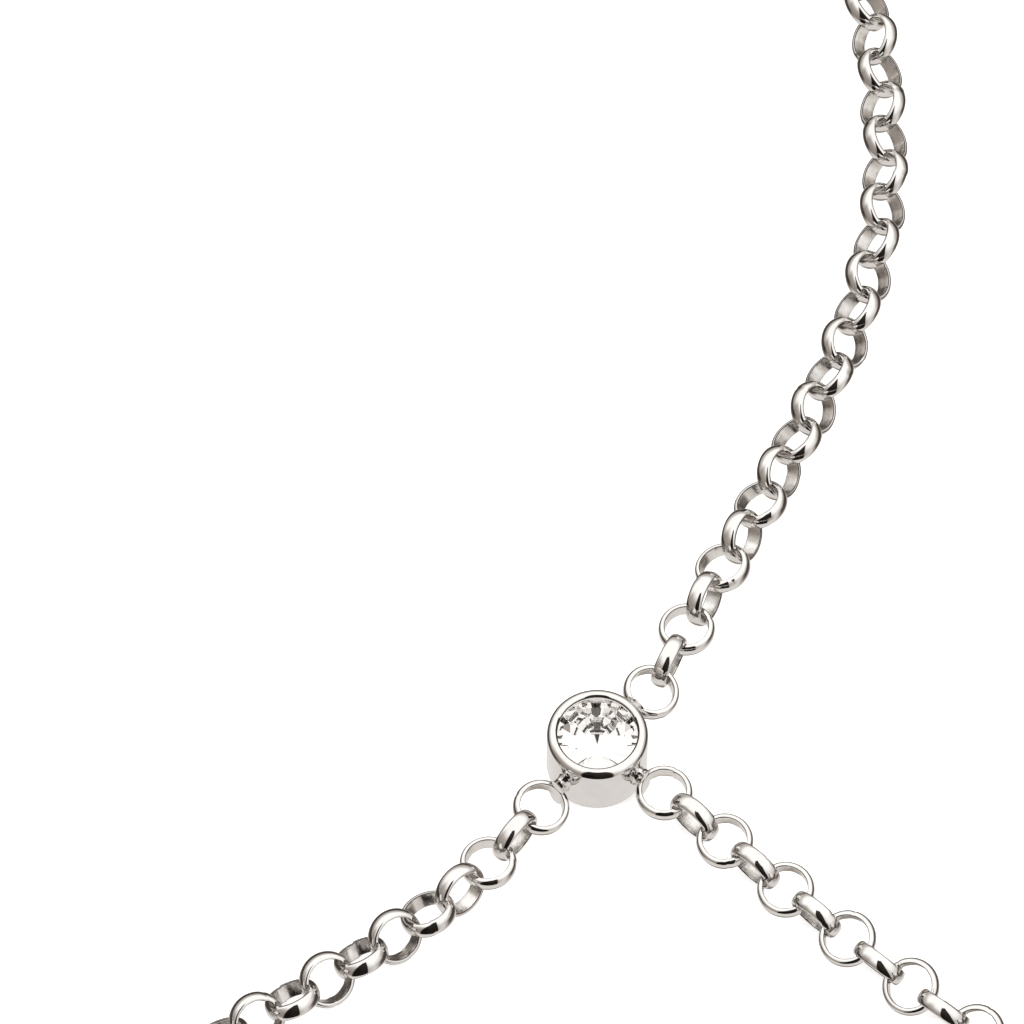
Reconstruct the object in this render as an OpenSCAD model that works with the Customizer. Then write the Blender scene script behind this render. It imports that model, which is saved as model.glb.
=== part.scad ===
// Hand chain bracelet: a wrist loop and a finger loop of half-round belcher chain,
// joined by a strand over the back of the hand at one bezel-set round crystal.
// It lies on the floor plane z = 0, in millimetres. The origin is the middle of the
// setting's underside. The hand strand runs off along +X, and the wrist loop lies on the -X side.

/* [Chain links] */
// Outside diameter of a link
link_od = 2.76; // [2.4:0.02:3.2]
// Width of a link's half-round band
band_w = 0.79; // [0.65:0.01:0.9]
// Thickness of the band, from its flat inside to the top of its dome
band_t = 0.24; // [0.2:0.01:0.28]
// Bevel of the band's two inner edges
edge_cut = 0.11; // [0.08:0.01:0.14]

/* [Chain slack] */
// How much nearer than taut the links of the upper wrist chain lie
upper_slack = 0.19; // [0.17:0.01:0.35]
// How much nearer than taut the links of the lower wrist chain lie
lower_slack = 0.26; // [0.17:0.01:0.35]
// How much nearer than taut the links of the hand chain lie
hand_slack = 0.26; // [0.17:0.01:0.35]
// How much nearer than taut the links of the finger chain lie
finger_slack = 0.27; // [0.24:0.01:0.4]
// Least clear space between two pieces that hold each other
clear = 0.11; // [0.1:0.01:0.15]

/* [Setting] */
// Outside diameter of the bezel
bezel_od = 4.88; // [4.7:0.02:6]
// Height of the bezel
bezel_h = 3.35; // [3:0.05:3.9]
// How far the rim's lip reaches over the stone's edge
rim_grip = 0.09; // [0.06:0.005:0.13]
// Rounding of the lip's inner edge; the rest of the rim's width is its outer roll
lip_round = 0.13; // [0.08:0.01:0.18]
// Height of the lip's inner side, from its underside to the rim's top
lip_h = 0.38; // [0.3:0.01:0.5]
// Thickness of the cup's floor
cup_floor = 0.4; // [0.25:0.05:0.55]
// Rounding of the bezel's bottom edge
foot_r = 0.17; // [0.1:0.01:0.25]
// Width of the ledge that carries the stone
ledge_w = 0.36; // [0.26:0.02:0.5]

/* [Soldered rings] */
// Direction of the upper wrist ring from the setting's middle, in degrees
upper_turn = 80.5; // [70:0.5:100]
// Direction of the lower wrist ring
lower_turn = 258.5; // [250:0.5:280]
// Direction of the hand ring
hand_turn = -5.5; // [-20:0.5:10]
// Length of the solder neck between the bezel and the upper wrist ring
upper_neck = 0.32; // [0.05:0.01:0.5]
// Length of the solder neck to the lower wrist ring
lower_neck = 0.27; // [0.05:0.01:0.5]
// Length of the solder neck to the hand ring
hand_neck = 0.12; // [0.05:0.01:0.5]
// Radius of a solder neck at the bezel's wall
solder_r = 0.42; // [0.3:0.01:0.5]
// Radius of a solder neck at its ring
neck_r = 0.29; // [0.22:0.01:0.36]

/* [Stone] */
// Diameter of the stone at its girdle
stone_d = 4.04; // [3.8:0.02:4.25]
// Height of the girdle's plain edge
girdle_h = 0.07; // [0.04:0.01:0.12]
// Diameter of the flat table
table_d = 2.55; // [2:0.05:2.8]
// Slope of the crown's main facets, in degrees
crown_slope = 30; // [26:1:34]
// Slope of the pavilion's main facets
pavilion_slope = 41; // [38:0.5:42]
// How far out from the crown's middle the star facets' points lie
star_out = 0.085; // [0.05:0.005:0.13]
// Share of the girdle's radius at which the pavilion's edge facets end
lower_share = 0.25; // [0.2:0.01:0.5]
// Gap between the stone and the metal
stone_gap = 0.04; // [0.02:0.01:0.07]

/* [Clasp] */
// Outside diameter of the plain ring clasp
clasp_od = 4.6; // [4.2:0.1:6]
// Thickness of the clasp's wire
clasp_wire = 0.85; // [0.7:0.05:0.95]
// Outside diameter of the clasp's eye
eye_od = 2.3; // [2.2:0.05:2.8]
// Thickness of the eye's wire
eye_wire = 0.52; // [0.44:0.02:0.56]

/* [Finger loop] */
// Diameter of the finger loop, along the middle of its chain
finger_d = 19.6; // [17:0.1:24]
// Outside diameter of the ring that joins the finger loop to the hand chain
join_od = 4.1; // [3.9:0.1:5.2]
// Thickness of the joining ring's wire
join_wire = 0.6; // [0.45:0.05:0.75]

/* [Hidden] */
$fn = 40;
metal = [0.82, 0.82, 0.84];

// Chosen points of each strand's middle line, x and y in mm; its ends are worked out below
upper_route = [[0.4, 9.9], [0.2, 15.9], [-0.2, 22], [-1, 28], [-2.8, 34], [-5.7, 39.4],
               [-9.3, 44.3], [-13, 47.2], [-17.6, 47.8], [-22.5, 45.9], [-29, 42.1], [-35.5, 38.4],
               [-42, 34.6], [-48.1, 29.8], [-50.5, 22.7], [-47.7, 15.8]];
lower_route = [[-2, -9.8], [-4.3, -15.2], [-6.9, -20.4], [-10, -25.2], [-14.3, -28.4],
               [-19.8, -27.8], [-24.4, -23.9], [-28, -18.2], [-31.4, -12.4]];
hand_route = [[9.7, -1.6], [15.4, -2.8], [21.1, -3.8], [26.9, -4.5], [32.8, -5], [38.7, -5.3],
              [44.6, -5.5], [50.6, -6], [56.4, -6.9], [62.2, -8.3], [68, -10]];
// Middle of the clasp and of the joining ring, and the direction of the chain through each
clasp_at = [-38.3, -0.5];
clasp_turn = -60;
join_at = [79.5, -13.7];
join_turn = -18;

// Pace of a strand: share of its links, then the share of its length that they have covered.
// The straighter stretch beside the setting is pulled nearly taut, and the turn is looser.
upper_pace = [[0, 0], [0.07, 0.0682], [0.36, 0.3668], [1, 1]];
lower_pace = [[0, 0], [0.26, 0.27], [1, 1]];
even_pace = [[0, 0], [1, 1]];
// Lean of the links along a strand: share of its links, then degrees.
// At 0 every other link lies flat and the rest stand on edge; at 45 all lean alike.
upper_lean = [[0, 11], [0.014, 5], [0.035, -4], [0.07, -20], [0.125, -36], [0.17, -44], [0.21, -47],
              [0.8, -45], [1, 0]];
lower_lean = [[0, -12], [0.06, 8], [0.12, 32], [0.18, 45], [0.25, 41], [0.8, 42], [1, 0]];
hand_lean = [[0, 3], [0.11, 10], [0.18, 21], [0.45, 30], [0.8, 22], [1, 0]];
finger_lean = [[0, 0], [0.5, 42], [1, 0]];

// Cuts of a strand's line between two chosen points
line_cuts = 14;
// Straight lead of a strand before its last link
lead = 6;
// Half the length of line that a link's heading is taken over
heading_reach = 0.4;
// How far a cut is carried past the edge that it opens
overshoot = 1;

link_ro = link_od / 2;
link_ri = link_ro - band_t;
flat_w = band_w - 2 * edge_cut;
dome_rise = band_t - edge_cut;
dome_r = (pow(band_w / 2, 2) + pow(dome_rise, 2)) / (2 * dome_rise);
dome_c = link_ro - dome_r;
taut_step = 2 * sqrt(pow(link_ri, 2) - pow(flat_w / 2, 2));

bezel_r = bezel_od / 2;
stone_r = stone_d / 2;
cup_r = stone_r + stone_gap;
lip_r = stone_r - rim_grip;
lip_z = bezel_h - lip_h;
// Middle of the two arcs of the rim's section: the lip's rounding and the outer roll
rim_c = lip_r + lip_round;
rim_r = bezel_r - rim_c;
rim_z = bezel_h - rim_r;
// How deep a solder neck starts inside the bezel's wall
wall_bite = 0.2;

crown_h = (stone_r - table_d / 2) * tan(crown_slope);
pavilion_h = stone_r * tan(pavilion_slope);
// Corners between two main facets of the crown and of the pavilion, on both facets' planes
star_r = (stone_r + table_d / 2) / 2 + star_out;
star_z = crown_h * (stone_r - star_r * cos(22.5)) / (stone_r - table_d / 2);
lower_r = stone_r * lower_share;
lower_z = -girdle_h - pavilion_h * (1 - lower_share * cos(22.5));
// Steepest lines from the girdle up the crown and down the pavilion
crown_edge = atan(star_z / (stone_r - star_r));
pavilion_edge = atan(-(lower_z + girdle_h) / (stone_r - lower_r));
// Top of the girdle, where the crown clears the underside of the lip
girdle_z = lip_z - rim_grip * tan(crown_edge) - stone_gap / cos(crown_edge);
pavilion_z = girdle_z - girdle_h;
ledge_r = cup_r - ledge_w;
ledge_z = pavilion_z - (stone_r - ledge_r) * tan(pavilion_edge) - stone_gap / cos(pavilion_edge);

// A ring's wire that lies in the bottom of a link standing on edge
function seated_z(wire) = band_t + clear + wire / 2;
clasp_ring_r = (clasp_od - clasp_wire) / 2;
clasp_z = seated_z(clasp_wire);
eye_r = (eye_od - eye_wire) / 2;
eye_x = clasp_ring_r + clasp_wire / 2 + eye_r - eye_wire / 2;
// How far a link's middle may lie beyond the eye's wire that it holds
eye_room = sqrt(pow(link_ri - clear - eye_wire / 2, 2) - pow(link_ro - clasp_z, 2))
           - eye_r + sqrt(pow(eye_r, 2) - pow(band_w / 2, 2));
join_r = (join_od - join_wire) / 2;
join_z = seated_z(join_wire);
finger_r = finger_d / 2;
// Angle at the loop's middle between the joining ring and the first link that holds it
finger_start = 2 * asin(join_r / finger_d);

function ahead(at, turn, d) = [at.x + d * cos(turn), at.y + d * sin(turn)];

// Middle of the ring soldered to the bezel at the given turn
function ring_at(turn, neck) = ahead([0, 0], turn, bezel_r + neck + link_ro);

// A smooth line through chosen points, as rows of length so far, x and y
function between(a, b, c, d, t) = (2 * b + (c - a) * t + (2 * a - 5 * b + 4 * c - d) * t * t
                                   + (3 * b - a - 3 * c + d) * pow(t, 3)) / 2;
function curve(p) = [
    for (i = [0:len(p) - 2])
        for (j = [0:line_cuts - 1])
            between(p[max(i - 1, 0)], p[i], p[i + 1], p[min(i + 2, len(p) - 1)], j / line_cuts),
    p[len(p) - 1]
];
function measured(c) = [
    for (i = 0, s = 0; i < len(c); s = s + (i < len(c) - 1 ? norm(c[i + 1] - c[i]) : 0), i = i + 1)
        [s, c[i].x, c[i].y]
];
function line_length(rows) = rows[len(rows) - 1][0];
function point_at(rows, s) = [
    lookup(s, [for (q = rows) [q[0], q[1]]]),
    lookup(s, [for (q = rows) [q[0], q[2]]])
];
function heading_at(rows, s) =
    let (a = point_at(rows, s - heading_reach), b = point_at(rows, s + heading_reach))
    atan2(b.y - a.y, b.x - a.x);

finger_mid = ahead(join_at, join_turn, finger_r);
clasp_upper_end = ahead(clasp_at, clasp_turn, -eye_x - eye_r - eye_room);
clasp_lower_end = ahead(clasp_at, clasp_turn, clasp_ring_r);
hand_end = ahead(join_at, join_turn, -join_r);
upper_line = measured(curve(concat([ring_at(upper_turn, upper_neck)], upper_route,
                                   [ahead(clasp_upper_end, clasp_turn, -lead), clasp_upper_end])));
lower_line = measured(curve(concat([ring_at(lower_turn, lower_neck)], lower_route,
                                   [ahead(clasp_lower_end, clasp_turn, lead), clasp_lower_end])));
hand_line = measured(curve(concat([ring_at(hand_turn, hand_neck)], hand_route,
                                  [ahead(hand_end, join_turn, -lead), hand_end])));

// Fewest steps of at most the given length that cover a line, odd or even in number
function steps(length, step, odd) = odd + 2 * ceil((length / step - odd) / 2);
// Height of the links' middles, where the lower of two neighbours touches the floor
function link_z(lean) = dome_r + dome_c * max(abs(sin(lean)), abs(cos(lean)));

// Half-round section of the band, beside the axis of its ring
module band_section() {
    intersection() {
        translate([dome_c, 0]) circle(dome_r);
        polygon([[link_ri, -flat_w / 2], [link_ri + edge_cut, -band_w / 2],
                 [link_ro + overshoot, -band_w / 2], [link_ro + overshoot, band_w / 2],
                 [link_ri + edge_cut, band_w / 2], [link_ri, flat_w / 2]]);
    }
}

// One link, flat on the plane of its chain
module link() {
    rotate_extrude() band_section();
}

module link_on(at, heading, lean, turned) {
    translate([at.x, at.y, link_z(lean)]) rotate([0, 0, heading]) rotate([lean + turned, 0, 0]) link();
}

// Links from the first to the last point of a line, each turned a quarter from the one before
module strand(line, pace, lean, slack) {
    n = steps(line_length(line), taut_step - slack, 1);
    for (k = [1:n]) {
        s = line_length(line) * lookup(k / n, pace);
        link_on(point_at(line, s), heading_at(line, s), lookup(k / n, lean), 90 * (k % 2));
    }
}

// Half section of the cup: foot, wall, ledge, lip and rolled rim
module cup_section() {
    difference() {
        union() {
            translate([0, foot_r]) square([bezel_r, rim_z - foot_r]);
            square([bezel_r - foot_r, rim_z]);
            translate([bezel_r - foot_r, foot_r]) circle(foot_r);
            square([rim_c, bezel_h - lip_round]);
            translate([rim_c, bezel_h - lip_round]) circle(lip_round);
            intersection() {
                translate([rim_c, rim_z]) circle(rim_r);
                translate([rim_c, 0]) square([rim_r, bezel_h]);
            }
        }
        translate([-overshoot, cup_floor]) square([ledge_r + overshoot, bezel_h]);
        translate([-overshoot, ledge_z]) square([cup_r + overshoot, lip_z - ledge_z]);
        translate([-overshoot, ledge_z]) square([lip_r + overshoot, bezel_h]);
    }
}

module soldered_ring(turn, neck, lean) {
    rotate([0, 0, turn]) {
        translate([bezel_r + neck + link_ro, 0, link_z(lean)]) rotate([lean, 0, 0]) link();
        translate([bezel_r - wall_bite, 0, link_z(lean)]) rotate([0, 90, 0])
            cylinder(h = wall_bite + neck + band_t / 2, r1 = solder_r, r2 = neck_r);
    }
}

module setting() {
    color(metal) {
        rotate_extrude() cup_section();
        soldered_ring(upper_turn, upper_neck, upper_lean[0][1]);
        soldered_ring(lower_turn, lower_neck, lower_lean[0][1]);
        soldered_ring(hand_turn, hand_neck, hand_lean[0][1]);
    }
}

// One ring of the stone's corners: how many, turned by, at a radius and a height
function corners(count, turn, r, z) = [for (k = [0:count - 1])
    [r * cos(turn + k * 360 / count), r * sin(turn + k * 360 / count), z]];

// Round brilliant: table, 8 star, 8 main and 16 edge facets above the girdle, 16 edge and
// 8 main facets below it. Corner rings: table 0, stars 8, girdle 16 and 32, lower edge 48, culet 56.
module stone() {
    top = [for (k = [0:7]) k];
    stars = [for (k = top) [k, (k + 1) % 8, 8 + k]];
    mains = [for (k = top) [k, 8 + k, 16 + 2 * k, 8 + (k + 7) % 8]];
    edges = [for (k = top, h = [0, 1]) [8 + k, 16 + (2 * k + h + 1) % 16, 16 + 2 * k + h]];
    sides = [for (k = [0:15]) [16 + k, 16 + (k + 1) % 16, 32 + (k + 1) % 16, 32 + k]];
    lower_edges = [for (k = top, h = [0, 1]) [48 + k, 32 + 2 * k + h, 32 + (2 * k + h + 1) % 16]];
    lower_mains = [for (k = top) [48 + k, 56, 48 + (k + 7) % 8, 32 + 2 * k]];
    color([0.95, 0.96, 0.98]) translate([0, 0, girdle_z]) polyhedron(
        points = concat(corners(8, 0, table_d / 2, crown_h), corners(8, 22.5, star_r, star_z),
                        corners(16, 0, stone_r, 0), corners(16, 0, stone_r, -girdle_h),
                        corners(8, 22.5, lower_r, lower_z), [[0, 0, -girdle_h - pavilion_h]]),
        faces = concat([[7, 6, 5, 4, 3, 2, 1, 0]], stars, mains, edges, sides, lower_edges, lower_mains)
    );
}

// Plain round-wire ring, flat on its own plane
module wire_ring(od, wire) {
    rotate_extrude() translate([(od - wire) / 2, 0]) circle(wire / 2);
}

module clasp() {
    color(metal) translate([clasp_at.x, clasp_at.y, clasp_z]) rotate([0, 0, clasp_turn]) {
        wire_ring(clasp_od, clasp_wire);
        translate([-eye_x, 0, 0]) wire_ring(eye_od, eye_wire);
    }
}

module upper_wrist_chain() {
    color(metal) strand(upper_line, upper_pace, upper_lean, upper_slack);
}

module lower_wrist_chain() {
    color(metal) strand(lower_line, lower_pace, lower_lean, lower_slack);
}

module hand_chain() {
    color(metal) strand(hand_line, even_pace, hand_lean, hand_slack);
}

module finger_joining_ring() {
    color(metal) translate([join_at.x, join_at.y, join_z]) wire_ring(join_od, join_wire);
}

// The finger loop starts and ends in the joining ring
module finger_chain() {
    n = steps(finger_r * (360 - 2 * finger_start) * PI / 180, taut_step - finger_slack, 0);
    color(metal) for (k = [0:n]) {
        turn = join_turn + 180 + finger_start + k / n * (360 - 2 * finger_start);
        at = ahead(finger_mid, turn, finger_r);
        link_on(at, turn + 90, lookup(k / n, finger_lean), 90 * ((k + 1) % 2));
    }
}

setting();
stone();
upper_wrist_chain();
lower_wrist_chain();
clasp();
hand_chain();
finger_joining_ring();
finger_chain();
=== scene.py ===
# Looks of a hand chain bracelet: bright plated belcher chain and a bezel-set round crystal.
# Sizes are in millimetres and are scaled to metres where a mesh is made.
import math

import bmesh
import bpy
import numpy as np
from mathutils import Matrix, Vector, noise


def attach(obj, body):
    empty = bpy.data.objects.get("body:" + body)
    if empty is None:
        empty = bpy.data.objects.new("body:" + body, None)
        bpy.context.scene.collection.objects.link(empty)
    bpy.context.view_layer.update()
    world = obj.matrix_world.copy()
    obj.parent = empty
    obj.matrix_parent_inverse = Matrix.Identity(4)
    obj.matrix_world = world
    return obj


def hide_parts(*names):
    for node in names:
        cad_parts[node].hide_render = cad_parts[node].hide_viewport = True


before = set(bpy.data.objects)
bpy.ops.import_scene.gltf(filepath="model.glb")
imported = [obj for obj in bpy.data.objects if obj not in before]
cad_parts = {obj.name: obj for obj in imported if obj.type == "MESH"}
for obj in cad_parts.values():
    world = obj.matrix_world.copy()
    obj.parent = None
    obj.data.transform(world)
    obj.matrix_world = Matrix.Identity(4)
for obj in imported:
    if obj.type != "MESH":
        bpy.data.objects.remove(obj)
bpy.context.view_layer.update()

MM = 0.001

# Chain links: the solid model's band is thinner, so that its links stay clear of each other
LINK_OD = 2.76
BAND_W = 0.79
BAND_T = 0.32
LINK_RO = LINK_OD / 2
LINK_RI = LINK_RO - BAND_T
# The solid band's dome, which sets how high above the floor the middle of a leaning link is
SOLID_DOME_R = 0.665
SOLID_DOME_C = LINK_RO - SOLID_DOME_R

# A link's section: rounding of its inner edges, thickness of the flat face beside its dome, and the dome's steps
EDGE_ROUND = 0.06
EDGE_FACE = 0.12
EDGE_STEPS = 4
DOME_STEPS = 15
# Where along the rounding of an inner edge (1 at the inner side, 0 at the flat face) each material starts; between
# the two lies a strip of painted dark reflection
INSIDE_FROM = 0.93
CORNER_FROM = 0.25
# A link's turn: its steps, the number of flats inside and the share of their full depth, the sideways jump and the
# dip at its seam, and how far it is out of round, as a share of its radius
LINK_STEPS = 60
INNER_FLATS = 12
FLAT_DEPTH = 0.5
SEAM_JUMP = 0.06
SEAM_DIP = 0.025
OUT_OF_ROUND = 0.006
# Squareness of the band's dome: 1 is an ellipse, less is squarer
DOME_POWER = 0.92

# Setting: a cup with a rolled rim, whose lip reaches over the stone's edge and whose ledge carries the stone
BEZEL_R = 2.44
BEZEL_H = 3.35
BEZEL_STEPS = 160
STONE_R = 2.02
STONE_GAP = 0.04
RIM_GRIP = 0.09
LIP_ROUND = 0.13
LIP_H = 0.28
FOOT_FLAT_R = 1.2
FOOT_R = 0.17
LEDGE_W = 0.36
LEDGE_DROP = 0.53
CUP_FLOOR = 0.4
LIP_R = STONE_R - RIM_GRIP
LIP_Z = BEZEL_H - LIP_H
CUP_R = STONE_R + STONE_GAP
# The rim's outer roll: radius at which it is highest, its width and its height
RIM_C = LIP_R + LIP_ROUND
RIM_R = BEZEL_R - RIM_C
RIM_ROLL = 0.42
# The painted dark reflection round the stone, a dark line that is wider on the side facing the camera: how far out
# from the lip's inner side it starts on its near and far sides, how far down it goes, and the direction of its near
# side and the cosine at which that ends
PAINTED_DARK_NEAR = 0.1
PAINTED_DARK_FAR = 0.035
PAINTED_DARK_H = 0.025
NEAR_TURN = 300
NEAR_REACH = -0.4
# Soldered rings: direction from the setting's middle, length of the solder neck, and lean
RINGS = {"upper": (80.5, 0.32, 11), "lower": (258.5, 0.27, -12), "hand": (-5.5, 0.12, 3)}
# Each ring's solder: width and height as shares of its radius, how far up it is smeared, and how lumpy it is
SMEARS = {"upper": (0.9, 1.1, 0.1, 0.6), "lower": (0.72, 1.5, 0.32, 0.25), "hand": (0.85, 1.35, 0.28, 0.85)}
# Solder: how deep it starts in the wall, how far it ends in the ring, its radius, how much wider it is at its ends,
# its steps round and along, and the height and fineness of its large and small lumps
SOLDER_BITE = 0.2
SOLDER_REACH = 0.3
SOLDER_R = 0.46
SOLDER_FLARE = 0.22
SOLDER_TURNS = 56
SOLDER_CUTS = 24
LARGE_LUMPS = (0.42, 1.3)
SMALL_LUMPS = (0.2, 3.0)

# Stone: its girdle's top lies a little below the lip, so that the crown clears the lip
TABLE_R = 1.42
GIRDLE_H = 0.07
GIRDLE_Z = LIP_Z - 0.128
CROWN_SLOPE = math.radians(30)
PAVILION_SLOPE = math.radians(41)
STONE_TURN = -15

# Clasp and joining ring: place, direction, and the outside diameter and wire of each ring
CLASP_AT = (-38.3, -0.5, 0.775)
CLASP_TURN = -60
CLASP_RING = (4.6, 0.85)
CLASP_EYE = (2.3, 0.52)
CLASP_EYE_X = -2.93
JOIN_AT = (79.5, -13.7, 0.65)
JOIN_RING = (4.1, 0.6)

# Camera: where it stands, what it looks at, and its lens on a 36 mm sensor
CAMERA_AT = (72.801, -134.298, 296.366)
AIM_AT = (-10.54, 10.051, 0)
LENS = 242.13

# The floor: half its side, and how far below the links' lowest points it lies
FLOOR_HALF = 900
FLOOR_Z = -0.02

# The studio's light tent: its light at the foot, and how much more there is higher up
TENT_FOOT = 0.85
TENT_RISE = 0.5
# The share of the light that is left in each of its shades
BEHIND_SHADE = 0.66
GAP_SHADE = 0.12
BELOW_SHADE = 0.35
LEFT_SHADE = 0.4
RIGHT_SHADE = 0.65
CAMERA_SHADE = 0.03
# The tent that a ray meets once it has been through the stone, and its shades
STONE_TENT = 1.35
STONE_LOW_SHADE = 0.58
STONE_CAMERA_SHADE = 0.12
STONE_SLIT_SHADE = 0.05
# The plain backdrop that the camera sees
BACKDROP = 1.2
# Colour of the darkest and of the brightest light, and the light from which it is the brightest
SHADE_COLOUR = (1, 0.86, 0.75, 1)
BRIGHT_COLOUR = (1, 0.99, 0.975, 1)
BRIGHT_FROM = 1.2


def mesh_piece(name, points, faces, materials, smooth=True, face_slots=None):
    """A new mesh object from points in millimetres."""
    mesh = bpy.data.meshes.new(name)
    mesh.from_pydata([tuple(p) for p in np.asarray(points, float) * MM], [], faces)
    for material in materials:
        mesh.materials.append(material)
    mesh.polygons.foreach_set("use_smooth", [smooth] * len(mesh.polygons))
    if face_slots is not None:
        mesh.polygons.foreach_set("material_index", face_slots)
    mesh.validate()
    mesh.update()
    piece = bpy.data.objects.new(name, mesh)
    bpy.context.scene.collection.objects.link(piece)
    return piece


def finish_piece(piece, node):
    """Lets a piece stand for a CAD node."""
    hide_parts(node)
    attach(piece, "root")


def link_section():
    """Half-round section of a link's band: offset from the inner radius, height, and 1 on the inner side, else 0."""
    half = BAND_W / 2
    rows = []
    for t in np.linspace(-math.pi / 2, math.pi / 2, DOME_STEPS + 1):
        across = max(math.cos(t), 0) ** DOME_POWER
        rows.append((EDGE_FACE + (BAND_T - EDGE_FACE) * across, half * math.sin(t), 0))
    flat = half - EDGE_ROUND
    rounding = [EDGE_ROUND * (1 - math.cos(a)) for a in np.linspace(math.pi / 2, 0, EDGE_STEPS + 1)]
    rows += [(r, flat + math.sqrt(max(EDGE_ROUND ** 2 - (EDGE_ROUND - r) ** 2, 0)), 1 - r / EDGE_ROUND)
             for r in rounding]
    rows += [(0, flat / 3, 1)]
    rows += [(r, -h, s) for r, h, s in rows[:-len(rounding) - 2:-1]]
    return np.array(rows)


def band_slots():
    """Material of each strip along the band: 0 polished outside, 1 drawn inside, 2 painted dark reflection at the
    inner edges.
    """
    inward = link_section()[:, 2]
    slots = []
    for a, b in zip(inward, np.roll(inward, -1)):
        middle = (a + b) / 2
        slots.append(1 if middle > INSIDE_FROM else 2 if middle > CORNER_FROM else 0)
    return slots


def link_points(rng):
    """Points of one link round its own Z axis, as an array of turns by section points."""
    section = link_section()
    turn = np.arange(LINK_STEPS) * 2 * math.pi / LINK_STEPS
    flat_turn = 2 * math.pi / INNER_FLATS
    from_flat = (turn + flat_turn / 2) % flat_turn - flat_turn / 2
    dents = FLAT_DEPTH * LINK_RI * (1 / np.cos(from_flat) - 1)
    seam = rng.integers(LINK_STEPS)
    past_seam = ((np.arange(LINK_STEPS) - seam) % LINK_STEPS) / LINK_STEPS
    jump = rng.uniform(-SEAM_JUMP, SEAM_JUMP) * (past_seam - 0.5)
    dip = np.where(past_seam == 0, SEAM_DIP, 0)
    oval = OUT_OF_ROUND * LINK_RO * np.cos(2 * turn + rng.uniform(0, 6.28))
    offset = section[None, :, 0] + dents[:, None] * section[None, :, 2]
    offset = offset - dip[:, None] * (section[None, :, 2] < 1) + oval[:, None]
    radius = LINK_RI + offset
    height = section[None, :, 1] + jump[:, None]
    return np.stack([radius * np.cos(turn)[:, None], radius * np.sin(turn)[:, None], height], axis=2)


def ring_faces(turns, across, start=0):
    """Quads of a closed band of turns by across points."""
    quads = []
    for i in range(turns):
        for j in range(across):
            a, b = i * across + j, i * across + (j + 1) % across
            c, d = (i + 1) % turns * across + (j + 1) % across, (i + 1) % turns * across + j
            quads.append((start + a, start + d, start + c, start + b))
    return quads


def loose_parts(node):
    """Middle and axis of each loose ring of a CAD node, in millimetres."""
    bm = bmesh.new()
    bm.from_mesh(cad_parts[node].data)
    bmesh.ops.remove_doubles(bm, verts=bm.verts, dist=1e-7)
    found, parts = set(), []
    for first in bm.verts:
        if first in found:
            continue
        found.add(first)
        part, front = [first], [first]
        while front:
            near = [e.other_vert(v) for v in front for e in v.link_edges]
            front = [v for v in dict.fromkeys(near) if v not in found]
            found.update(front)
            part += front
        parts.append(np.array([v.co for v in part]) / MM)
    bm.free()
    rings = []
    for points in parts:
        middle = points.mean(axis=0)
        axis = np.linalg.svd(points - middle, full_matrices=False)[2][2]
        rings.append((middle, axis * (1 if axis[2] >= 0 else -1)))
    return sorted(rings, key=lambda ring: tuple(np.round(ring[0], 3)))


def stand(points, middle, axis):
    """Points round the Z axis, turned to another axis and moved to its middle."""
    turn = np.array(Vector((0, 0, 1)).rotation_difference(Vector(axis)).to_matrix())
    return points @ turn.T + np.asarray(middle)


def chain_piece(node, materials, seed):
    """All links of a strand, each at the place of its solid."""
    rng = np.random.default_rng(seed)
    across = len(link_section())
    slots = band_slots() * LINK_STEPS
    points, faces, face_slots = [], [], []
    for middle, axis in loose_parts(node):
        faces += ring_faces(LINK_STEPS, across, len(points) * LINK_STEPS * across)
        points.append(stand(link_points(rng).reshape(-1, 3), middle, axis))
        face_slots += slots
    piece = mesh_piece(node + "_links", np.concatenate(points), faces, materials, face_slots=face_slots)
    finish_piece(piece, node)


def arc(x, y, r, start, end, steps):
    """Points of an arc, from start to end in degrees."""
    return [(x + r * math.cos(math.radians(t)), y + r * math.sin(math.radians(t)))
            for t in np.linspace(start, end, steps + 1)]


def bezel_profile():
    """Section of the cup from the middle of its underside, up its wall, over its rim and down inside."""
    ledge_z = LIP_Z - LEDGE_DROP
    rim_z = BEZEL_H - RIM_ROLL
    points = [(0, 0), (FOOT_FLAT_R, 0)] + arc(BEZEL_R - FOOT_R, FOOT_R, FOOT_R, -90, 0, 8)
    points += [(BEZEL_R, 1), (BEZEL_R, 2), (BEZEL_R, rim_z - 0.3)]
    points += [(x, rim_z + (z - rim_z) * RIM_ROLL / RIM_R) for x, z in arc(RIM_C, rim_z, RIM_R, 0, 90, 24)]
    points += arc(RIM_C, BEZEL_H - LIP_ROUND, LIP_ROUND, 90, 180, 10)[1:]
    points += [(LIP_R, BEZEL_H - LIP_ROUND - PAINTED_DARK_H), (LIP_R, LIP_Z), (CUP_R, LIP_Z)]
    points += [(CUP_R, ledge_z), (CUP_R - LEDGE_W, ledge_z)]
    points += [(CUP_R - LEDGE_W, CUP_FLOOR), (0, CUP_FLOOR)]
    return points


def lathe(profile, steps):
    """Points, faces and the profile step of each face of a profile turned round Z, whose ends lie on the axis."""
    turn = np.arange(steps) * 2 * math.pi / steps
    body = profile[1:-1]
    points = [(0, 0, profile[0][1]), (0, 0, profile[-1][1])]
    points += [(r * math.cos(t), r * math.sin(t), z) for t in turn for r, z in body]
    n = len(body)
    faces = []
    for i in range(steps):
        k = (i + 1) % steps
        here, there = 2 + i * n, 2 + k * n
        faces.append((0, there, here))
        faces.append((1, here + n - 1, there + n - 1))
        faces += [(here + j, there + j, there + j + 1, here + j + 1) for j in range(n - 1)]
    return points, faces, [0, n, *range(1, n)] * steps


def link_z(lean):
    """Height of the middle of a link that leans and touches the floor."""
    return SOLID_DOME_R + SOLID_DOME_C * max(abs(math.sin(lean)), abs(math.cos(lean)))


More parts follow.
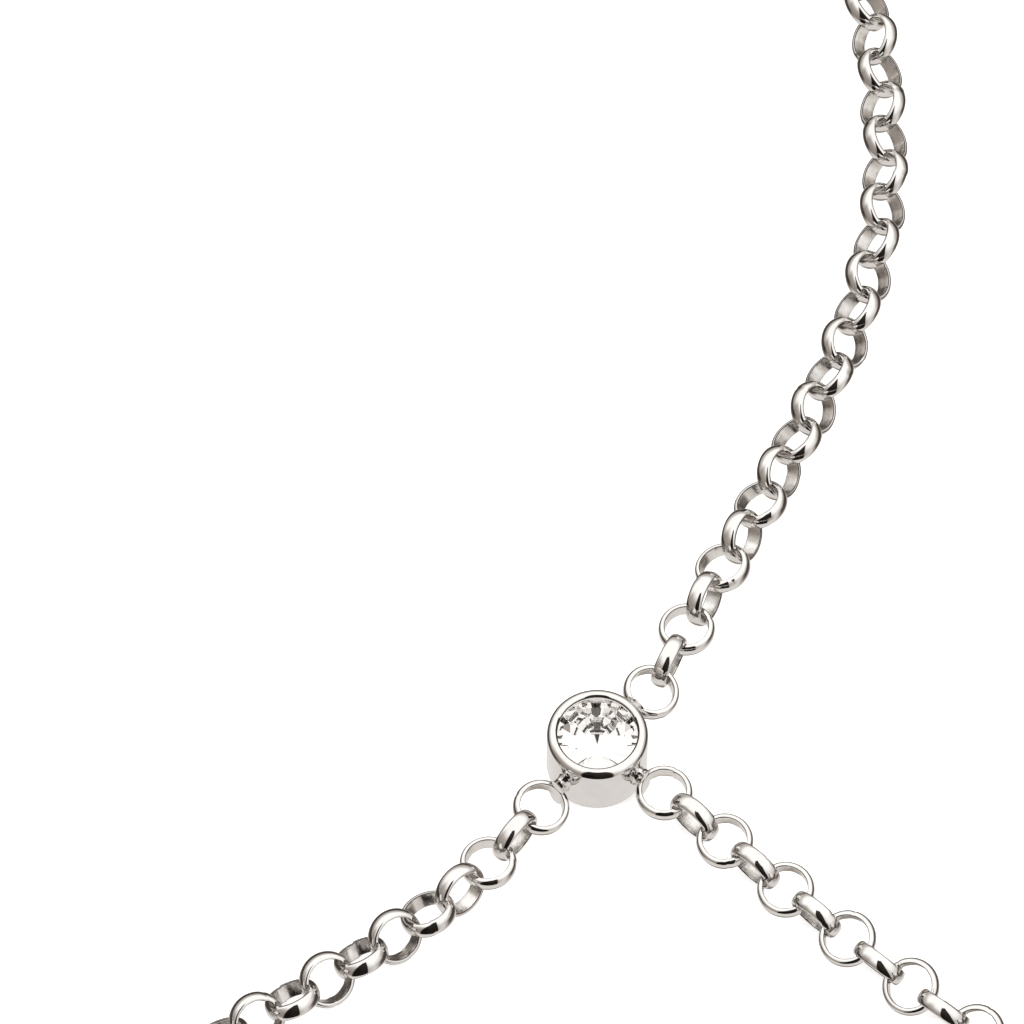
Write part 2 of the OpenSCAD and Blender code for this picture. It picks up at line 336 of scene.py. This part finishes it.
def solder_points(neck, smear, seed):
    """A lumpy solder neck along +X, from inside the bezel's wall to inside the ring's band."""
    wide, high, lift, lumps = smear
    (large, large_scale), (small, small_scale) = LARGE_LUMPS, SMALL_LUMPS
    turns, cuts = SOLDER_TURNS, SOLDER_CUTS
    rows = []
    for i in range(cuts + 1):
        share = i / cuts
        x = BEZEL_R - SOLDER_BITE + share * (neck + SOLDER_BITE + SOLDER_REACH)
        flare = SOLDER_R + SOLDER_FLARE * (2 * share - 1) ** 2
        for k in range(turns):
            t = 2 * math.pi * k / turns
            way = Vector((share * 1.2, math.cos(t) * 0.7, math.sin(t) * 0.7 + seed))
            lump = large * noise.noise(way * large_scale) + small * noise.noise(way * small_scale)
            r = flare * (1 + lumps * lump)
            rows.append((x, r * math.cos(t) * wide, r * math.sin(t) * high + lift * (1 - share)))
    faces = [(i * turns + k, i * turns + (k + 1) % turns, (i + 1) * turns + (k + 1) % turns, (i + 1) * turns + k)
             for i in range(cuts) for k in range(turns)]
    faces.append(tuple(range(turns))[::-1])
    faces.append(tuple(cuts * turns + k for k in range(turns)))
    return np.array(rows), faces


def joined(piece, others):
    """The union of a piece with others, which are then removed."""
    for other in others:
        cut = piece.modifiers.new("join", "BOOLEAN")
        cut.operation = "UNION"
        cut.solver = "EXACT"
        cut.object = other
    shape = bpy.data.meshes.new_from_object(piece.evaluated_get(bpy.context.evaluated_depsgraph_get()))
    piece.modifiers.clear()
    piece.data = shape
    for other in others:
        bpy.data.objects.remove(other)


def setting_piece(polished, inner, dark_reflection, seed=5):
    """The bezel with its three soldered rings, as one mesh."""
    rng = np.random.default_rng(seed)
    profile = bezel_profile()
    points, faces, steps = lathe(profile, BEZEL_STEPS)
    # The painted dark reflection starts on the lip's rounding, where that turns down towards the stone, and reaches
    # further out on the side that faces the camera
    lip = profile.index((LIP_R, LIP_Z))
    top = max(range(len(profile)), key=lambda i: profile[i][1])
    near, far = (next(i for i in range(top, lip) if profile[i][0] < LIP_R + width)
                 for width in (PAINTED_DARK_NEAR, PAINTED_DARK_FAR))
    slots = []
    for i, k in enumerate(steps):
        turn = 2 * math.pi * (i // len(profile[1:])) / BEZEL_STEPS
        dark_from = near if math.cos(turn - math.radians(NEAR_TURN)) > NEAR_REACH else far
        slots.append(0 if k < dark_from else 1 if k == lip - 1 else 2)
    metals = [polished, inner, dark_reflection]
    bezel = mesh_piece("bezel_setting", points, faces, metals, face_slots=slots)
    parts = []
    across = len(link_section())
    slots = band_slots() * LINK_STEPS
    for k, (name, (turn, neck, lean)) in enumerate(RINGS.items()):
        turn, lean = math.radians(turn), math.radians(lean)
        spin = np.array(Matrix.Rotation(turn, 3, "Z"))
        tip = np.array(Matrix.Rotation(lean, 3, "X"))
        z = link_z(lean)
        ring = link_points(rng).reshape(-1, 3) @ tip.T + (BEZEL_R + neck + LINK_RO, 0, z)
        parts.append(mesh_piece(f"ring_{k}", ring @ spin.T, ring_faces(LINK_STEPS, across), metals, face_slots=slots))
        lump, lump_faces = solder_points(neck, SMEARS[name], 10 * k)
        parts.append(mesh_piece(f"solder_{k}", (lump + (0, 0, z)) @ spin.T, lump_faces, metals))
    joined(bezel, parts)
    bezel.data.set_sharp_from_angle(angle=math.radians(40))
    finish_piece(bezel, "setting")


def stone_corners():
    """Corner points of the cut stone: table, 8 main and 8 corner facets over 16 long facets; girdle's top at 0."""
    crown_h = (STONE_R - TABLE_R) * math.tan(CROWN_SLOPE)
    pavilion_h = STONE_R * math.tan(PAVILION_SLOPE)
    rings = [(8, TABLE_R, crown_h), (16, STONE_R, 0), (16, STONE_R, -GIRDLE_H)]
    points = [(r * math.cos((k + 0.5) * 2 * math.pi / n), r * math.sin((k + 0.5) * 2 * math.pi / n), z)
              for n, r, z in rings for k in range(n)]
    return points + [(0, 0, -GIRDLE_H - pavilion_h)]


def stone_piece(crystal, foil):
    bm = bmesh.new()
    turn = Matrix.Rotation(math.radians(STONE_TURN), 3, "Z")
    for p in stone_corners():
        bm.verts.new((turn @ Vector(p) + Vector((0, 0, GIRDLE_Z))) * MM)
    bmesh.ops.convex_hull(bm, input=bm.verts)
    bmesh.ops.dissolve_limit(bm, angle_limit=math.radians(0.5), verts=bm.verts, edges=bm.edges)
    for face in bm.faces:
        face.smooth = False
        face.material_index = int(face.calc_center_median().z < GIRDLE_Z * MM)
    mesh = bpy.data.meshes.new("stone_cut")
    bm.to_mesh(mesh)
    bm.free()
    mesh.materials.append(crystal)
    mesh.materials.append(foil)
    piece = bpy.data.objects.new("stone_cut", mesh)
    bpy.context.scene.collection.objects.link(piece)
    finish_piece(piece, "stone")


def noise_bump(tree, shader, place, scale, distance):
    """Fine waviness of a surface, its scale in features per metre and its depth in metres."""
    texture = tree.nodes.new("ShaderNodeTexNoise")
    texture.inputs["Scale"].default_value = scale
    texture.inputs["Detail"].default_value = 3
    bump = tree.nodes.new("ShaderNodeBump")
    bump.inputs["Strength"].default_value = 1
    bump.inputs["Distance"].default_value = distance
    tree.links.new(place, texture.inputs["Vector"])
    tree.links.new(texture.outputs["Fac"], bump.inputs["Height"])
    tree.links.new(bump.outputs["Normal"], shader.inputs["Normal"])


def new_material(name):
    """A node material, its tree, its shader and coordinates fixed to the object."""
    material = bpy.data.materials.new(name)
    material.use_nodes = True
    tree = material.node_tree
    shader = tree.nodes["Principled BSDF"]
    place = tree.nodes.new("ShaderNodeTexCoord").outputs["Object"]
    return material, tree, shader, place


def spotted(tree, place, scale, low, high):
    """A value that wanders between low and high over the surface."""
    texture = tree.nodes.new("ShaderNodeTexNoise")
    texture.inputs["Scale"].default_value = scale
    texture.inputs["Detail"].default_value = 4
    tree.links.new(place, texture.inputs["Vector"])
    spread = tree.nodes.new("ShaderNodeMapRange")
    spread.inputs["From Min"].default_value = 0.35
    spread.inputs["From Max"].default_value = 0.7
    spread.inputs["To Min"].default_value = low
    spread.inputs["To Max"].default_value = high
    tree.links.new(texture.outputs["Fac"], spread.inputs["Value"])
    return spread.outputs["Result"]


def tinted(tree, shader, place, tint):
    """A colour that darkens a little in spots."""
    shade = tree.nodes.new("ShaderNodeMix")
    shade.data_type = "RGBA"
    shade.inputs[6].default_value = (*[c * 0.93 for c in tint], 1)
    shade.inputs[7].default_value = (*tint, 1)
    tree.links.new(spotted(tree, place, 900, 0, 1), shade.inputs[0])
    tree.links.new(shade.outputs[2], shader.inputs["Base Color"])


def metal(name, tint, rough_low, rough_high, bump_scale, bump_depth):
    material, tree, shader, place = new_material(name)
    shader.inputs["Metallic"].default_value = 1
    tinted(tree, shader, place, tint)
    tree.links.new(spotted(tree, place, 2500, rough_low, rough_high), shader.inputs["Roughness"])
    noise_bump(tree, shader, place, bump_scale, bump_depth)
    return material


def crystal_glass():
    material, tree, shader, place = new_material("crystal_glass")
    shader.inputs["Base Color"].default_value = (1, 1, 1, 1)
    shader.inputs["IOR"].default_value = 1.55
    # Faint traces of polishing
    tree.links.new(spotted(tree, place, 3000, 0, 0.012), shader.inputs["Roughness"])
    shader.inputs["Transmission Weight"].default_value = 1
    return material


def crystal_foil():
    material, tree, shader, place = new_material("crystal_foil")
    shader.inputs["Metallic"].default_value = 1
    tinted(tree, shader, place, (0.96, 0.95, 0.94))
    tree.links.new(spotted(tree, place, 1500, 0, 0.03), shader.inputs["Roughness"])
    return material


def floor_piece():
    material, _, shader, _ = new_material("white_card")
    shader.inputs["Base Color"].default_value = (0.95, 0.95, 0.95, 1)
    shader.inputs["Roughness"].default_value = 0.9
    shader.inputs["Emission Color"].default_value = (1, 1, 1, 1)
    shader.inputs["Emission Strength"].default_value = 0.6
    points = [(x * FLOOR_HALF, y * FLOOR_HALF, FLOOR_Z) for x, y in ((-1, -1), (1, -1), (1, 1), (-1, 1))]
    floor = mesh_piece("floor", points, [(0, 1, 2, 3)], [material], smooth=False)
    floor.visible_glossy = False


def math_node(tree, operation, a, b=None, c=None):
    node = tree.nodes.new("ShaderNodeMath")
    node.operation = operation
    for socket, value in zip(node.inputs, (a, b, c)):
        if value is None:
            continue
        if isinstance(value, (int, float)):
            socket.default_value = value
        else:
            tree.links.new(value, socket)
    return node.outputs[0]


def step(tree, value, start, end):
    """0 below start, 1 above end, smooth between; or the other way round if end is lower."""
    node = tree.nodes.new("ShaderNodeMapRange")
    node.interpolation_type = "SMOOTHSTEP"
    low, high = min(start, end), max(start, end)
    node.inputs["From Min"].default_value = low
    node.inputs["From Max"].default_value = high
    node.inputs["To Min"].default_value = float(start > end)
    node.inputs["To Max"].default_value = float(start < end)
    tree.links.new(value, node.inputs["Value"])
    return node.outputs["Result"]


def studio():
    """A white light tent with the dark camera in its opening and a dark gap beyond the edge of its table."""
    world = bpy.data.worlds.new("studio")
    bpy.context.scene.world = world
    world.use_nodes = True
    tree = world.node_tree
    background = tree.nodes["Background"]
    background.inputs["Color"].default_value = (1, 1, 1, 1)
    direction = tree.nodes.new("ShaderNodeTexCoord").outputs["Generated"]
    toward = Vector(CAMERA_AT) - Vector(AIM_AT)
    toward.z = 0
    toward.normalize()
    side = Vector((-toward.y, toward.x, 0))

    def light_path(what):
        return tree.nodes.new("ShaderNodeLightPath").outputs[what]

    def along(axis):
        node = tree.nodes.new("ShaderNodeVectorMath")
        node.operation = "DOT_PRODUCT"
        tree.links.new(direction, node.inputs[0])
        node.inputs[1].default_value = axis
        return node.outputs["Value"]

    front, lateral, up = along(toward), along(side), along((0, 0, 1))
    level = math_node(tree, "SQRT", math_node(tree, "SUBTRACT", 1.0001, math_node(tree, "MULTIPLY", up, up)))
    aside = math_node(tree, "DIVIDE", lateral, level)
    in_front = step(tree, front, -0.05, 0.02)

    def dimmed(light, mask, to):
        """The light where the mask is 0, and that share of it where the mask is 1."""
        less = math_node(tree, "SUBTRACT", to, 1)
        return math_node(tree, "MULTIPLY", light, math_node(tree, "MULTIPLY_ADD", mask, less, 1))

    def both(*masks):
        product = masks[0]
        for mask in masks[1:]:
            product = math_node(tree, "MULTIPLY", product, mask)
        return product

    # The tent's cloth, a little darker towards its foot
    light = math_node(tree, "MULTIPLY_ADD", step(tree, up, 0.0, 0.6), TENT_RISE, TENT_FOOT)
    behind = both(step(tree, up, -0.6, -0.3), step(tree, up, 0.5, 0.1), step(tree, front, 0.1, -0.3))
    light = dimmed(light, behind, BEHIND_SHADE)
    # The dark gap beyond the table's edge, behind and beside the object
    gap = both(step(tree, up, -0.86, -0.5), step(tree, up, 0.08, -0.2), step(tree, front, 0.6, 0.1))
    light = dimmed(light, gap, GAP_SHADE)
    # The shade that a piece casts right below itself
    light = dimmed(light, step(tree, up, -0.93, -0.985), BELOW_SHADE)
    # Half shade on both sides of the camera, deeper on its left, and the dark camera itself
    half_left = both(step(tree, aside, 0.2, -0.2), step(tree, front, -0.35, 0.1))
    half_right = both(step(tree, aside, 0.85, 0.4), step(tree, aside, -0.2, 0.2), in_front)
    reach = both(step(tree, up, -0.5, -0.3), step(tree, up, 0.95, 0.45))
    light = dimmed(light, both(half_left, reach), LEFT_SHADE)
    light = dimmed(light, both(half_right, reach), RIGHT_SHADE)
    core = both(step(tree, math_node(tree, "ABSOLUTE", aside), 0.5, 0.44), in_front,
                step(tree, up, -0.5, -0.46), step(tree, up, 0.975, 0.96))
    light = dimmed(light, core, CAMERA_SHADE)
    # A ray that has been through the stone meets a brighter tent: grey low down behind, dark round the camera,
    # in a slit below and beside it, and in a spot above the object
    through = math_node(tree, "GREATER_THAN", light_path("Transmission Depth"), 0.5)
    at_camera = along((toward * 0.6 + Vector((0, 0, 0.8))).normalized())
    bright = dimmed(STONE_TENT, both(step(tree, front, -0.15, -0.45), step(tree, up, 0.75, 0.5)), STONE_LOW_SHADE)
    bright = dimmed(bright, step(tree, at_camera, 0.965, 0.98), STONE_CAMERA_SHADE)
    slit = both(step(tree, math_node(tree, "ABSOLUTE", lateral), 0.17, 0.14), in_front, step(tree, up, 0.9, 0.84))
    bright = dimmed(bright, slit, STONE_SLIT_SHADE)
    overhead = along((toward * 0.25 + Vector((0, 0, 0.968))).normalized())
    bright = dimmed(bright, step(tree, overhead, 0.9955, 0.9975), STONE_SLIT_SHADE)
    light = math_node(tree, "ADD", math_node(tree, "MULTIPLY", light, math_node(tree, "SUBTRACT", 1, through)),
                      math_node(tree, "MULTIPLY", bright, through))
    # The backdrop that the camera sees is plain
    seen = light_path("Is Camera Ray")
    light = math_node(tree, "ADD", math_node(tree, "MULTIPLY", light, math_node(tree, "SUBTRACT", 1, seen)),
                      math_node(tree, "MULTIPLY", seen, BACKDROP))
    tree.links.new(light, background.inputs["Strength"])
    warmth = tree.nodes.new("ShaderNodeMix")
    warmth.data_type = "RGBA"
    warmth.inputs[6].default_value = SHADE_COLOUR
    warmth.inputs[7].default_value = BRIGHT_COLOUR
    tree.links.new(step(tree, light, 0, BRIGHT_FROM), warmth.inputs[0])
    tree.links.new(warmth.outputs[2], background.inputs["Color"])


def camera():
    """The camera at the photograph's angle."""
    data = bpy.data.cameras.new("camera")
    data.sensor_width = 36
    data.lens = LENS
    data.clip_start = 0.01
    data.clip_end = 10
    piece = bpy.data.objects.new("camera", data)
    piece.location = Vector(CAMERA_AT) * MM
    piece.rotation_mode = "QUATERNION"
    piece.rotation_quaternion = (Vector(AIM_AT) - Vector(CAMERA_AT)).to_track_quat("-Z", "Y")
    bpy.context.scene.collection.objects.link(piece)
    bpy.context.scene.camera = piece


def wire_ring(od, wire, around=96, across=24):
    """Points and faces of a round-wire ring round Z."""
    mid, r = (od - wire) / 2, wire / 2
    points = [((mid + r * math.cos(b)) * math.cos(a), (mid + r * math.cos(b)) * math.sin(a), r * math.sin(b))
              for a in np.arange(around) * 2 * math.pi / around
              for b in np.arange(across) * 2 * math.pi / across]
    return np.array(points), ring_faces(around, across)


def clasp_piece(polished):
    turn = np.array(Matrix.Rotation(math.radians(CLASP_TURN), 3, "Z"))
    points, faces = wire_ring(*CLASP_RING)
    ring = mesh_piece("clasp_ring", points @ turn.T + CLASP_AT, faces, [polished])
    points, faces = wire_ring(*CLASP_EYE)
    eye = mesh_piece("clasp_eye", (points + (CLASP_EYE_X, 0, 0)) @ turn.T + CLASP_AT, faces, [polished])
    joined(ring, [eye])
    finish_piece(ring, "clasp")


def joining_ring_piece(polished):
    points, faces = wire_ring(*JOIN_RING)
    ring = mesh_piece("joining_ring", points + JOIN_AT, faces, [polished])
    finish_piece(ring, "finger_joining_ring")


bpy.context.scene.view_settings.view_transform = "Standard"
# Enough reflections inside the stone
bpy.context.scene.cycles.max_bounces = 20
bpy.context.scene.cycles.glossy_bounces = 16
bpy.context.scene.cycles.transmission_bounces = 16
polished = metal("polished_plating", (0.80, 0.785, 0.77), 0.03, 0.09, 1800, 0.000004)
inner = metal("drawn_inside", (0.84, 0.82, 0.795), 0.18, 0.32, 5000, 0.00001)
# Near-black metal that paints a dark reflection: the thin dark line round the stone and along the inner edges of
# links and rings, and the cup's inside under the stone
dark_reflection = metal("painted_dark_reflection", (0.06, 0.05, 0.043), 0.25, 0.4, 5000, 0.00001)
camera()
studio()
floor_piece()
for seed, node in enumerate(("upper_wrist_chain", "lower_wrist_chain", "hand_chain", "finger_chain")):
    chain_piece(node, [polished, inner, dark_reflection], seed + 11)
setting_piece(polished, inner, dark_reflection)
stone_piece(crystal_glass(), crystal_foil())
clasp_piece(polished)
joining_ring_piece(polished)
